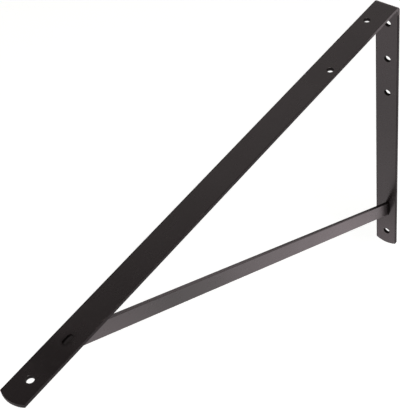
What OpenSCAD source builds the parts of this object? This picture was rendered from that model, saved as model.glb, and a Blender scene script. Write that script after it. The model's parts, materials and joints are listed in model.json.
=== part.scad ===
// Heavy shelf bracket. One flat bar is bent to a right angle, and a brace bar standing on
// edge is welded across it. X runs out from the wall, Y across the bar and Z up. The wall
// plane is x = 0, and the origin lies on it at mid-width, level with the top screw hole.

/* [Bent bar] */
// Reach of the shelf arm, from the wall plane to its front end
shelf_reach = 550; // [460:1:700]
// Height of the wall arm, from the top of the shelf arm to its lower end
wall_height = 352; // [290:1:450]
// Width of the bent bar
bar_w = 25.4; // [20:0.1:35]
// Thickness of the bent bar
bar_t = 4; // [3:0.5:6]
// Inside radius of the bend
bend_inner_r = 2; // [1:0.5:6]
// Radius of the arc that both ends of the bent bar are cropped to
end_arc_r = 25; // [18:1:60]
// Radius of the rolled corners along both bars
rolled_r = 0.5; // [0.2:0.1:1]

/* [Screw holes in the shelf arm] */
// Diameter of the rear and middle holes
shelf_hole_d = 6.6; // [5:0.1:9]
// Diameter of the front hole
front_hole_d = 7.3; // [5:0.1:9]
// Distance of the rear hole from the wall plane
shelf_hole_rear = 35; // [25:1:60]
// Distance of the middle hole from the wall plane
shelf_hole_middle = 114.5; // [80:0.5:180]
// Distance of the front hole from the front end
shelf_hole_front = 23; // [16:1:40]
// Sideways offset of the rear hole
rear_hole_side = -3.5; // [-4:0.5:4]
// Sideways offset of the middle hole
middle_hole_side = 5.3; // [-5.5:0.1:5.5]
// Sideways offset of the front hole
front_hole_side = 0.5; // [-4:0.5:4]

/* [Screw holes in the wall arm] */
// Diameter of the upper three holes
wall_hole_d = 7.5; // [5:0.5:9]
// Diameter of the lowest hole
lowest_hole_d = 8; // [5:0.5:9]
// Distance of the top hole below the top of the shelf arm
wall_hole_top = 24; // [16:1:40]
// Spacing of the upper three holes
wall_hole_pitch = 45.7; // [20:0.1:60]
// Distance of the lowest hole above the lower end
wall_hole_low = 20; // [14:1:30]
// Sideways offset of all four wall holes
wall_hole_side = 1; // [-3:0.5:3]
// Width of the broken edge round each screw hole
hole_edge = 0.15; // [0.05:0.05:0.5]

/* [Brace] */
// Width of the brace bar, in the plane of the bracket
brace_w = 16.5; // [10:0.5:24]
// Thickness of the brace bar
brace_t = 4; // [3:0.5:6]
// Height of the brace's centre line above the lower end, at the face of the wall arm
brace_foot = 59.3; // [50:0.1:120]
// Distance of the brace's centre line behind the front end, under the shelf arm
brace_head = 70; // [60:1:140]
// Sideways offset of the brace
brace_side = 1.6; // [-3:0.1:3]

/* [Slot weld in the shelf arm] */
// Distance of the weld slot's middle from the front end
weld_slot_front = 67; // [60:0.5:140]
// Length of the weld slot, along the arm
weld_slot_l = 11; // [8:0.5:18]
// Width of the weld slot
weld_slot_w = 5.6; // [4:0.1:8]
// Sideways offset of the weld slot
weld_slot_side = 0.5; // [-3:0.1:3]
// Distance of the weld's crown from the middle of the slot, towards the right
crown_side = 1; // [0:0.1:2]
// Fall of the weld from its crown to the left wall of the slot
crown_fall = 1.5; // [0.2:0.1:2]
// Fall of the weld from its crown to each end of the slot
crown_end_fall = 0.7; // [0.1:0.1:1.5]

/* [Fillet weld on the wall arm] */
// Leg of the fillet weld, on the left of the brace
fillet_leg = 4.5; // [3:0.1:7]
// Distance of the bead's axis behind both faces that it joins
fillet_axis = 3; // [0.5:0.5:8]
// Distance that the fillet weld stops short of both edges of the brace
fillet_short = 0.5; // [-3:0.5:3]

/* [Hidden] */
$fn = 64;

cut = 1;                                      // how far a cutting tool runs past the bar
shelf_top = wall_hole_top;                    // the origin is level with the top screw hole
shelf_under = shelf_top - bar_t;
wall_end = shelf_top - wall_height;
bend_outer_r = bend_inner_r + bar_t;

foot_z = wall_end + brace_foot;
head_x = shelf_reach - brace_head;
weld_slot_x = shelf_reach - weld_slot_front;
brace_run = head_x - bar_t;
brace_rise = shelf_under - foot_z;
brace_angle = atan2(brace_rise, brace_run);
brace_l = norm([brace_run, brace_rise]);
foot_h = brace_w / cos(brace_angle);          // height of the brace's cut end on the wall arm

painted_steel = [0.13, 0.125, 0.125];

// Section of a rolled flat bar: thickness along x from 0, width along y about 0
module bar_section(w, t) {
    translate([rolled_r, -w / 2]) square([t - 2 * rolled_r, w]);
    translate([0, rolled_r - w / 2]) square([t, w - 2 * rolled_r]);
    for (x = [rolled_r, t - rolled_r])
        for (side = [-1, 1])
            translate([x, side * (w / 2 - rolled_r)]) circle(r = rolled_r);
}

module wall_arm() {
    difference() {
        translate([0, 0, wall_end])
            linear_extrude(shelf_top - bend_outer_r - wall_end) bar_section(bar_w, bar_t);
        translate([-cut, 0, wall_end + end_arc_r]) rotate([0, 90, 0]) rotate([0, 0, 90])
            end_crop();
    }
}

module shelf_arm() {
    difference() {
        translate([bend_outer_r, 0, shelf_top]) rotate([0, 90, 0])
            linear_extrude(shelf_reach - bend_outer_r) bar_section(bar_w, bar_t);
        translate([shelf_reach - end_arc_r, 0, shelf_under - cut]) rotate([0, 0, 90])
            end_crop();
    }
}

// Takes off what lies outside the end arc, for an end that points along -y
module end_crop() {
    side = bar_w + 2 * cut;
    tool_h = bar_t + 2 * cut;
    difference() {
        translate([-side / 2, -end_arc_r - cut, 0]) cube([side, end_arc_r + cut, tool_h]);
        translate([0, 0, -cut]) cylinder(r = end_arc_r, h = tool_h + 2 * cut);
    }
}

module bend() {
    translate([bend_outer_r, 0, shelf_top - bend_outer_r]) rotate([90, -90, 0])
        rotate_extrude(angle = 90)
            translate([bend_inner_r, 0]) bar_section(bar_w, bar_t);
}

// A screw hole with its edges broken, from z = 0 up through the bar
module screw_hole(d) {
    translate([0, 0, -cut]) cylinder(d = d, h = bar_t + 2 * cut);
    translate([0, 0, -cut]) cylinder(r1 = d / 2 + hole_edge + cut, r2 = d / 2, h = hole_edge + cut);
    translate([0, 0, bar_t - hole_edge])
        cylinder(r1 = d / 2, r2 = d / 2 + hole_edge + cut, h = hole_edge + cut);
}

// The weld slot, from z = 0 up to height h
module weld_slot(h) {
    straight_l = weld_slot_l - weld_slot_w;
    linear_extrude(h) {
        square([straight_l, weld_slot_w], center = true);
        for (end = [-1, 1])
            translate([end * straight_l / 2, 0]) circle(d = weld_slot_w);
    }
}

// A bead about the z axis, of radius r at its middle and end_r at both ends of its length l
module bead(l, r, end_r) {
    fall = r - end_r;
    arc_r = (l * l / 4 + fall * fall) / (2 * fall);
    rotate_extrude($fn = 160)
        intersection() {
            translate([r - arc_r, 0]) circle(r = arc_r, $fn = 360);
            translate([0, -arc_r]) square([r, 2 * arc_r]);
        }
}

module bent_bar() {
    shelf_holes = [
        [shelf_hole_rear, rear_hole_side, shelf_hole_d],
        [shelf_hole_middle, middle_hole_side, shelf_hole_d],
        [shelf_reach - shelf_hole_front, front_hole_side, front_hole_d],
    ];
    wall_holes = [
        [0, wall_hole_d],
        [-wall_hole_pitch, wall_hole_d],
        [-2 * wall_hole_pitch, wall_hole_d],
        [wall_end + wall_hole_low, lowest_hole_d],
    ];
    color(painted_steel)
        difference() {
            union() {
                wall_arm();
                bend();
                shelf_arm();
            }
            for (hole = shelf_holes)
                translate([hole.x, hole.y, shelf_under]) screw_hole(hole.z);
            for (hole = wall_holes)
                translate([0, wall_hole_side, hole.x]) rotate([0, 90, 0]) screw_hole(hole.y);
            translate([weld_slot_x, weld_slot_side, shelf_under - cut])
                weld_slot(bar_t + 2 * cut);
        }
}

// Both ends are mitred to lie flat on the arms
module brace_bar() {
    spare = 2 * brace_w;
    color(painted_steel)
        intersection() {
            translate([bar_t, brace_side, foot_z]) rotate([0, 90 - brace_angle, 0])
                translate([-brace_w / 2, 0, -spare]) linear_extrude(brace_l + 2 * spare)
                    brace_section();
            translate([bar_t, brace_side - brace_t, foot_z - brace_w])
                cube([shelf_reach, 2 * brace_t, shelf_under - foot_z + brace_w]);
        }
}

// The brace stands on edge, so its width lies along x from 0 and its thickness about y = 0
module brace_section() {
    translate([0, brace_t / 2]) rotate(-90) translate([0, brace_w / 2]) bar_section(brace_w, brace_t);
}

// Fills the slot over the brace. Its crown is flush, and stands nearer the slot's right wall
module slot_weld() {
    left = weld_slot_w / 2 + crown_side;
    crown_r = (left * left + crown_fall * crown_fall) / (2 * crown_fall);
    color(painted_steel)
        intersection() {
            translate([weld_slot_x, weld_slot_side, shelf_under]) weld_slot(bar_t);
            translate([weld_slot_x, weld_slot_side + crown_side, shelf_top - crown_r])
                rotate([0, 90, 0]) bead(weld_slot_l, crown_r, crown_r - crown_end_fall);
        }
}

// Lies in the corner between the wall arm and the left side of the brace
module fillet_weld() {
    weld_l = foot_h - 2 * fillet_short;
    bead_r = norm([fillet_leg + fillet_axis, fillet_axis]);
    room = fillet_leg + cut;
    color(painted_steel)
        translate([bar_t, brace_side - brace_t / 2, foot_z])
            intersection() {
                translate([-fillet_axis, fillet_axis, 0])
                    bead(weld_l, bead_r, norm([fillet_axis, fillet_axis]));
                translate([0, -room, -weld_l / 2 - cut]) cube([room, room, weld_l + 2 * cut]);
            }
}

bent_bar();
brace_bar();
slot_weld();
fillet_weld();
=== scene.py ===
import json
import math

import bmesh
import bpy
from mathutils import Matrix, Vector


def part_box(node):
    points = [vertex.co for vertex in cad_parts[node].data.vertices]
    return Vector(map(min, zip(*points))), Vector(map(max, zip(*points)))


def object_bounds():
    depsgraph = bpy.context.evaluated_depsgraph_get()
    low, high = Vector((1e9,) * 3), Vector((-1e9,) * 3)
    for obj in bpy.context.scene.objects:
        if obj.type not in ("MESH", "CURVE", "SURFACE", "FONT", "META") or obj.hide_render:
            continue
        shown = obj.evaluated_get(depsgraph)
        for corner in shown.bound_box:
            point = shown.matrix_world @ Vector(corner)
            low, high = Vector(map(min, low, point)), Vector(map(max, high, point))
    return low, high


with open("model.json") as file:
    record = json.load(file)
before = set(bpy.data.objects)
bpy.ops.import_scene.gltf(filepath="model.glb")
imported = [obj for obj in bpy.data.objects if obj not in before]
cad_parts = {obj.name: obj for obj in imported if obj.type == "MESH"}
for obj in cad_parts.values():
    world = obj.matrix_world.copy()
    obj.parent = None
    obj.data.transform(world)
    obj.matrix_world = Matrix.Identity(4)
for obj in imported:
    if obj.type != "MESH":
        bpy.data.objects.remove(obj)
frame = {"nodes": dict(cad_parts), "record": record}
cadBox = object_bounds()
nodes = frame["nodes"]
print("frame loaded:", len(nodes), "nodes")


class Signal:  # one shader socket, so that sums on it read as Python
    def __init__(self, tree, socket=None):
        self.tree = tree
        self.socket = socket

    def make(self, kind, settings=None, inputs=None, output=0):
        node = self.tree.nodes.new("ShaderNode" + kind)
        for name, value in (settings or {}).items():
            if name == "stops":
                ramp = node.color_ramp
                while len(ramp.elements) < len(value):
                    ramp.elements.new(0.5)
                for element, (place, colour) in zip(ramp.elements, value):
                    element.position = place
                    element.color = (*colour, 1.0)
            else:
                setattr(node, name, value)
        for name, value in (inputs or {}).items():
            self.feed(node.inputs[name], value)
        return Signal(self.tree, node.outputs[output] if node.outputs else None)

    def feed(self, socket, value):
        if isinstance(value, Signal):
            self.tree.links.new(value.socket, socket)
        elif isinstance(value, (tuple, list)) and len(value) == 3 and len(socket.default_value) == 4:
            socket.default_value = (*value, 1.0)
        else:
            socket.default_value = value

    def maths(self, operation, *values):
        return self.make("Math", {"operation": operation}, dict(enumerate(values)))

    def __add__(self, other):
        return self.maths("ADD", self, other)

    def __sub__(self, other):
        return self.maths("SUBTRACT", self, other)

    def __mul__(self, other):
        return self.maths("MULTIPLY", self, other)

    def __truediv__(self, other):
        return self.maths("DIVIDE", self, other)

    def __pow__(self, other):
        return self.maths("POWER", self, other)

    def __lt__(self, other):
        return self.maths("LESS_THAN", self, other)

    def __gt__(self, other):
        return self.maths("GREATER_THAN", self, other)

    def __radd__(self, other):
        return self.maths("ADD", other, self)

    def __rsub__(self, other):
        return self.maths("SUBTRACT", other, self)

    def __rmul__(self, other):
        return self.maths("MULTIPLY", other, self)

    def __abs__(self):
        return self.maths("ABSOLUTE", self)

    def orElse(self, other):  # the larger of two masks
        return self.maths("MAXIMUM", self, other)

    def ramp(self, low, high):  # 0 below low, 1 above high, smooth between
        return self.make("MapRange", {"interpolation_type": "SMOOTHSTEP"},
                         {"Value": self, "From Min": low, "From Max": high})

    def tint(self, first, second):  # first where this mask is 0, second where it is 1
        return self.make("Mix", {"data_type": "RGBA"}, {"Factor": self, "A": first, "B": second},
                         output=2)

    def cover(self, under, over):  # the shader over shows where this mask is 1
        return self.make("MixShader", inputs={0: self, 1: under, 2: over})


blackPaint = {
    "colour": (0.0100, 0.0078, 0.0081),
    "roughness": 0.27,
    "specular": 0.58,
    "mottleSize": 26.0,  # these sizes are noise scales, so a larger one is finer
    "mottleRoughness": 0.10,
    "speckSize": 310.0,
    "peelSize": 420.0,
    "peelHeight": 0.00002,
    "grainSize": 2600.0,
    "grainHeight": 0.000004,
    "dustColour": (0.030, 0.025, 0.024),
    "dustSpeck": (0.56, 0.80),
    "dustPatch": (0.42, 0.70),
    "dustAmount": 0.5,
    "dustRoughness": 0.15,
    # the lighter speckles along the rolled corners: rubbed paint and a painted highlight
    "rubbedHighlightColour": (0.040, 0.034, 0.031),
    "rubbedHighlightSpeck": (0.50, 0.72),
    "rubbedHighlightPatch": (0.45, 0.62),
    "rubbedHighlightAmount": 0.8,
}
weldPaint = dict(blackPaint, colour=(0.009, 0.0078, 0.0079), roughness=0.45, specular=0.30,
                 peelSize=900.0, peelHeight=0.00005, waveSize=240.0, waveBend=2.0, waveHeight=0.00008)
# a dull, darker copy of the paint, laid as painted shade on the narrow faces, the ends and the bend
edgeShadePaint = {"colour": (0.0090, 0.0072, 0.0076), "roughness": 0.48, "specular": 0.12}
# a dark matte copy of the paint: painted shade in the crease, on and round the slot, in the weld's groove
# and in a band on top, and darker walls in the holes
darkMatteFinish = {"colour": (0.006, 0.005, 0.005), "roughness": 0.80, "specular": 0.06}
cloudy = {"size": 340.0, "spread": (0.35, 0.65), "dimmest": 0.6, "roughness": 0.16}


def newTree(name):
    material = bpy.data.materials.new(name)
    material.use_nodes = True
    material.node_tree.nodes.clear()
    start = Signal(material.node_tree)
    return material, start, start.make("TexCoord", output="Object")


def axes(start, place):
    return [start.make("SeparateXYZ", inputs={0: place}, output=axis) for axis in "XYZ"]


def span(value, low, high, soft):  # 1 between low and high, fading over soft at both
    return value.ramp(low - soft, low) * (1 - value.ramp(high, high + soft))


def noise(start, place, size, detail):
    return start.make("TexNoise", inputs={"Vector": place, "Scale": size, "Detail": detail})


def paintShader(start, place, paint, rubbedAndHighlit=None, ripple=None):
    mottle = noise(start, place, paint["mottleSize"], 3.0)
    speck = noise(start, place, paint["speckSize"], 2.0)
    peel = noise(start, place, paint["peelSize"], 1.0)
    grain = noise(start, place, paint["grainSize"], 1.0)
    dust = speck.ramp(*paint["dustSpeck"]) * mottle.ramp(*paint["dustPatch"])
    colour = (dust * paint["dustAmount"]).tint(paint["colour"], paint["dustColour"])
    roughness = (paint["roughness"] + (mottle - 0.5) * paint["mottleRoughness"]
                 + dust * paint["dustRoughness"])
    # painted highlight and rubbed paint: lighter speckles along the rolled corners
    if rubbedAndHighlit:
        wornAndHighlit = rubbedAndHighlit * speck.ramp(*paint["rubbedHighlightSpeck"]) * mottle.ramp(*paint["rubbedHighlightPatch"])
        colour = (wornAndHighlit * paint["rubbedHighlightAmount"]).tint(colour, paint["rubbedHighlightColour"])
    height = peel * paint["peelHeight"] + grain * paint["grainHeight"]
    if ripple:  # the weld's frozen waves, which follow each other along this axis
        wave = start.make("TexWave", {"bands_direction": ripple},
                          {"Vector": place, "Scale": paint["waveSize"], "Distortion": paint["waveBend"]},
                          output=1)
        height = height + wave * paint["waveHeight"]
    bump = start.make("Bump", inputs={"Height": height, "Distance": 1.0, "Strength": 1.0})
    return start.make("BsdfPrincipled", inputs={
        "Base Color": colour, "Roughness": roughness, "Normal": bump,
        "Specular IOR Level": paint["specular"]})


def plainShader(start, place, finish):  # the dull and dark matte copies of the paint, which carry painted shade, cloudy and without peel
    cloud = noise(start, place, cloudy["size"], 2.0)
    dim = [part * cloudy["dimmest"] for part in finish["colour"]]
    return start.make("BsdfPrincipled", inputs={
        "Base Color": cloud.ramp(*cloudy["spread"]).tint(dim, finish["colour"]),
        "Roughness": finish["roughness"] + (cloud - 0.5) * cloudy["roughness"],
        "Specular IOR Level": finish["specular"]})


barLow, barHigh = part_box("bent_bar")
braceLow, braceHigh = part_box("brace_bar")
weldLow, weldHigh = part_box("slot_weld")

holes = {
    "skin": 0.0002,  # here and below, a surface this near still counts as the one meant
    "shelfAmount": 0.92,
    "frontFrom": 0.40,  # a hole further out than this is the front one
    "frontLessDark": 0.42,
    "rearLessDark": 0.70,
    "lessDarkLow": 0.0205,
    "lessDarkHigh": 0.0218,
}


def boreMask(point, plan):  # 1 on the walls of the screw holes
    mask = None
    for mount in frame["record"]["mounts"]:
        if mount["kind"] != "bore":
            continue
        away = [part - middle for part, middle in zip(point, mount["pos_m"])]
        along = [abs(part) > 0.5 for part in mount["axis"]].index(True)
        depth = abs(away.pop(along))
        reach = (away[0] ** 2 + away[1] ** 2) ** 0.5
        inside = ((reach < mount["dims"]["r_mm"] / 1000 + plan["skin"])
                  * (depth < mount["dims"]["length_mm"] / 2000))
        if along == 2:  # the shelf arm's holes are less dark towards their lower edge, by a different amount in the front one
            front = mount["pos_m"][0] > plan["frontFrom"]
            painted = plan["frontLessDark"] if front else plan["rearLessDark"]
            inside = inside * (plan["shelfAmount"] - painted
                               + painted * point[2].ramp(plan["lessDarkLow"], plan["lessDarkHigh"]))
        mask = mask.orElse(inside) if mask else inside
    return mask


barEdge = {
    "endArc": 0.025,
    "endStrip": 0.0005,  # a strip is how far in from its edge the dull, darker paint of the painted shade reaches
    "endDepth": 0.006,
    "leftStrip": 0.0010,
    "rightStrip": 0.0001,
    "wallStrip": 0.0005,
    "glossFrom": 0.040,  # up to here the painted shade on the edges of the shelf arm is weakest
    "glossTo": 0.070,
    "leastDullShade": 0.2,
    "bendFrom": 0.0010,
    "bendTo": 0.0035,
    "bendFoot": 0.014,
}


def edgeShadeMask(point, plan):  # 1 on the narrow faces of the bent bar, its two ends and its bend, where dull darker paint is painted shade
    x, y, z = point
    arc = plan["endArc"]
    onWall = z < plan["bendFoot"]
    left = y < plan["leftStrip"] - barHigh.y
    right = y > barHigh.y - plan["rightStrip"] - onWall * (plan["wallStrip"] - plan["rightStrip"])
    dullShade = (x.ramp(plan["glossFrom"], plan["glossTo"]) * (1 - plan["leastDullShade"])
            + plan["leastDullShade"])
    side = left.orElse(right) * dullShade.orElse(onWall)
    front = ((x - barHigh.x + arc) ** 2 + y ** 2) ** 0.5 > arc - plan["endStrip"]
    foot = ((z - barLow.z - arc) ** 2 + y ** 2) ** 0.5 > arc - plan["endStrip"]
    bendShade = (1 - x.ramp(plan["bendFrom"], plan["bendTo"])) * (z > plan["bendFoot"])
    return (side.orElse(front * (x > barHigh.x - plan["endDepth"]))
            .orElse(foot * (z < barLow.z + plan["endDepth"])).orElse(bendShade))


rolled = {"wide": 0.0010, "narrow": 0.0001, "soft": 0.0006, "skin": 0.0006}


def rolledMask(point, plan):  # 1 along the rolled corners of the bent bar, where the lighter speckles are a painted highlight and rubbed paint
    x, y, z = point
    flat = (barHigh.z - z < plan["skin"]) + (abs(x - braceLow.x) < plan["skin"])
    return span(abs(y), barHigh.y - plan["wide"], barHigh.y - plan["narrow"], plan["soft"]) * flat


brace = {
    "width": 0.0165,
    "rim": 0.0004,
    "glossyFrom": 0.0009,
    "glossyTo": 0.0006,
    "fadeFrom": 0.10,
    "fadeTo": 0.36,
    "fade": 0.7,
}
tilt = math.atan2(braceHigh.z - braceLow.z, braceHigh.x - braceLow.x)  # its lower edge joins these corners


def upperShadeMask(point, plan):  # 1 on the narrow upper face of the brace, weaker towards its head: dull darker paint there is painted shade and a painted dark reflection of the shelf arm's underside
    x, y, z = point
    across = (z - braceLow.z) * math.cos(tilt) - (x - braceLow.x) * math.sin(tilt)
    dullShade = 1 - y.ramp(braceHigh.y - plan["glossyFrom"], braceHigh.y - plan["glossyTo"])
    fading = 1 - x.ramp(plan["fadeFrom"], plan["fadeTo"]) * plan["fade"]
    return (across > plan["width"] - plan["rim"]) * dullShade * fading


crease = {"tall": 0.019, "near": 0.0008, "far": 0.0032, "taper": 0.007, "narrowest": 0.2, "soft": 0.002}


def creaseShadeMask(point, plan):  # 1 in the corner between the brace and the wall arm, where the dark matte finish is painted shade
    x, y, z = point
    narrow = (z.ramp(braceLow.z, braceLow.z + plan["taper"]) * (1 - plan["narrowest"])
              + plan["narrowest"])
    away = ((x - braceLow.x) ** 2 + ((y - braceHigh.y) / narrow) ** 2) ** 0.5
    return ((1 - away.ramp(plan["near"], plan["far"]))
            * span(z, braceLow.z, braceLow.z + plan["tall"], plan["soft"]))


slot = {
    "x": (weldLow.x + weldHigh.x) / 2,
    "y": (weldLow.y + weldHigh.y) / 2,
    "radius": (weldHigh.y - weldLow.y) / 2,
    "straight": (weldHigh.x - weldLow.x - weldHigh.y + weldLow.y) / 2,
    "shadeFrom": -0.001,  # from the slot's wall, outwards
    "shadeTo": 0.0050,
    "shadeRear": 0.26,
    "shadeFront": 0.60,
    "shadeTurn": 0.004,
    "wallSkin": 0.0001,
    "wallRear": 0.0035,
}
shadeBand = {"x": 0.503, "near": 0.006, "far": 0.024, "amount": 0.30, "skin": 0.0002}


def slotMask(point, plan):  # painted shade on the slot's wall, and painted shade round the slot, stronger in front of it
    x, y, z = point
    over = (abs(x - plan["x"]) - plan["straight"]).orElse(0.0)
    reach = (over ** 2 + (y - plan["y"]) ** 2) ** 0.5 - plan["radius"]
    frontal = x.ramp(plan["x"] - plan["shadeTurn"], plan["x"] + plan["shadeTurn"])
    amount = plan["shadeRear"] + frontal * (plan["shadeFront"] - plan["shadeRear"])
    shadedRound = (1 - reach.ramp(plan["shadeFrom"], plan["shadeTo"])) * amount
    return shadedRound.orElse((reach < plan["wallSkin"]) * (x > plan["x"] - plan["wallRear"]))


def shadeBandMask(point, plan):  # painted shade: a darker band across the top of the shelf arm, in front of the slot
    x, y, z = point
    smoked = 1 - abs(x - plan["x"]).ramp(plan["near"], plan["far"])
    return smoked * plan["amount"] * (z > barHigh.z - plan["skin"])


def barMaterial(name, paint):
    material, start, place = newTree(name)
    point = axes(start, place)
    painted = paintShader(start, place, paint, rolledMask(point, rolled))
    edged = edgeShadeMask(point, barEdge).cover(painted, plainShader(start, place, edgeShadePaint))
    # painted shade in the crease, on and round the slot and in a band on top, with the darker walls of the
    # holes
    shadedAndDark = (boreMask(point, holes).orElse(creaseShadeMask(point, crease)).orElse(slotMask(point, slot))
            .orElse(shadeBandMask(point, shadeBand)))
    surface = shadedAndDark.cover(edged, plainShader(start, place, darkMatteFinish))
    start.make("OutputMaterial", inputs={"Surface": surface})
    return material


def braceMaterial(name, paint):
    material, start, place = newTree(name)
    point = axes(start, place)
    edged = upperShadeMask(point, brace).cover(paintShader(start, place, paint),
                                          plainShader(start, place, edgeShadePaint))
    surface = creaseShadeMask(point, crease).cover(edged, plainShader(start, place, darkMatteFinish))
    start.make("OutputMaterial", inputs={"Surface": surface})
    return material


grooveShade = {"from": 0.0020, "to": 0.0004, "rearFrom": 0.0050, "rearTo": 0.0030, "amount": 0.8}


def grooveShadeMask(point, plan):  # painted shade in the groove along the left of the slot weld
    x, y, z = point
    left = 1 - y.ramp(slot["y"] - plan["from"], slot["y"] + plan["to"])
    ahead = x.ramp(slot["x"] - plan["rearFrom"], slot["x"] - plan["rearTo"])
    return left * plan["amount"] * ahead * (z > 0)


def weldMaterial(name, paint, ripple):
    material, start, place = newTree(name)
    painted = paintShader(start, place, paint, ripple=ripple)
    surface = grooveShadeMask(axes(start, place), grooveShade).cover(painted, plainShader(start, place, darkMatteFinish))
    start.make("OutputMaterial", inputs={"Surface": surface})
    return material


finishes = {
    "bent_bar": barMaterial("barPaint", blackPaint),
    "brace_bar": braceMaterial("bracePaint", blackPaint),
    "slot_weld": weldMaterial("slotWeldPaint", weldPaint, "X"),
    "fillet_weld": weldMaterial("filletWeldPaint", weldPaint, "Z"),
}
for name, node in nodes.items():
    for materialSlot in node.material_slots:
        materialSlot.material = finishes[name]
print("paint applied")

floorPlan = {
    "drop": 0.06,
    "size": 16.0,
    "colour": (0.80, 0.885, 0.87),
    "glow": 0.57,
    "mirrorGlow": 0.50,
    "mirrorTint": (1.21, 0.945, 1.035),
    "shades": (  # x, y, reach and amount of each light or dark patch that the paint mirrors
        (0.165, 0.200, 0.10, -0.58),
        (0.25, -0.15, 0.22, -0.24),
        (-0.035, 0.10, 0.13, 0.22),
        (0.04, -0.02, 0.08, 0.22),
        (0.11, -0.065, 0.06, -0.20),
        (-0.095, 0.055, 0.06, -0.24),
        (0.30, 0.28, 0.12, 0.25),
    ),
}


def layFloor(plan):
    mesh = bpy.data.meshes.new("floor")
    shape = bmesh.new()
    bmesh.ops.create_grid(shape, x_segments=1, y_segments=1, size=plan["size"] / 2,
                          matrix=Matrix.Translation((0, 0, cadBox[0].z - plan["drop"])))
    shape.to_mesh(mesh)
    shape.free()
    floor = bpy.data.objects.new("floor", mesh)
    bpy.context.scene.collection.objects.link(floor)
    material, start, place = newTree("floorPale")
    across, along = axes(start, place)[:2]
    mirrorGlow = plan["mirrorGlow"]
    for x, y, reach, amount in plan["shades"]:
        away = ((across - x) ** 2 + (along - y) ** 2) ** 0.5
        mirrorGlow = mirrorGlow + (1 - away.ramp(0, reach)) * amount
    seen = start.make("LightPath", output="Is Camera Ray")
    mirrored = start.make("LightPath", output="Is Glossy Ray")
    diffuse = start.make("BsdfDiffuse", inputs={"Color": plan["colour"]})
    glow = start.make("Emission", inputs={"Color": mirrored.tint((1.0, 1.0, 1.0), plan["mirrorTint"]),
                                          "Strength": seen * plan["glow"] + mirrored * mirrorGlow})
    both = start.make("AddShader", inputs={0: diffuse, 1: glow})
    start.make("OutputMaterial", inputs={"Surface": both})
    mesh.materials.append(material)


layFloor(floorPlan)
print("floor laid")

studio = {
    "skyStops": (  # how far up, and how bright the paint mirrors the sky there
        (0.0, 0.52), (0.62, 0.52), (0.65, 0.56), (0.675, 0.84), (0.705, 1.06),
        (0.732, 0.40), (0.750, 0.15), (0.765, 0.0), (1.0, 0.0),
    ),
    "warm": (1.07, 0.97, 0.96),
    "backdrop": (1.0, 1.0, 1.0),
    "softboxAt": (1.1, 1.3, 1.7),
    "softboxSize": 1.2,
    "softboxPower": 30.0,
}


def lightStudio(plan):
    world = bpy.data.worlds.new("studio")
    bpy.context.scene.world = world
    world.use_nodes = True
    tree = world.node_tree
    tree.nodes.clear()
    start = Signal(tree)
    way = start.make("TexCoord", output="Generated")
    up = start.make("SeparateXYZ", inputs={0: way}, output="Z")
    level = start.make("ValToRGB", {"stops": [(place, [grey * tint for tint in plan["warm"]])
                                              for place, grey in plan["skyStops"]]}, {"Fac": up})
    camera = start.make("LightPath", output="Is Camera Ray")
    sky = start.make("Background", inputs={"Color": camera.tint(level, plan["backdrop"]), "Strength": 1.0})
    start.make("OutputWorld", inputs={"Surface": sky})
    lamp = bpy.data.lights.new("softbox", "AREA")
    lamp.shape = "SQUARE"
    lamp.size = plan["softboxSize"]
    lamp.energy = plan["softboxPower"]
    lamp.color = plan["warm"]
    box = bpy.data.objects.new("softbox", lamp)
    bpy.context.scene.collection.objects.link(box)
    at = Vector(plan["softboxAt"])
    box.matrix_world = Matrix.Translation(at) @ at.to_track_quat("Z", "Y").to_matrix().to_4x4()


lightStudio(studio)
print("studio lit")

view = {
    "at": (0.81527, 0.47871, 0.74272),
    "right": (-0.59294, 0.797881, -0.108661),
    "down": (0.630475, 0.376058, -0.67903),
    "lens": 104.142,
    "sensor": 36.0,
    "shift": (-0.01307, 0.01925),
    "nearest": 0.05,
}


def placeCamera(plan):
    data = bpy.data.cameras.new("camera")
    data.lens = plan["lens"]
    data.sensor_width = plan["sensor"]
    data.shift_x, data.shift_y = plan["shift"]
    data.clip_start = plan["nearest"]
    camera = bpy.data.objects.new("camera", data)
    right = Vector(plan["right"]).normalized()
    up = -Vector(plan["down"])
    up = (up - right * up.dot(right)).normalized()
    turn = Matrix((right, up, right.cross(up))).transposed()
    camera.matrix_world = Matrix.Translation(plan["at"]) @ turn.to_4x4()
    bpy.context.scene.collection.objects.link(camera)
    bpy.context.scene.camera = camera


placeCamera(view)
bpy.context.scene.view_settings.view_transform = "Standard"
print("camera placed")
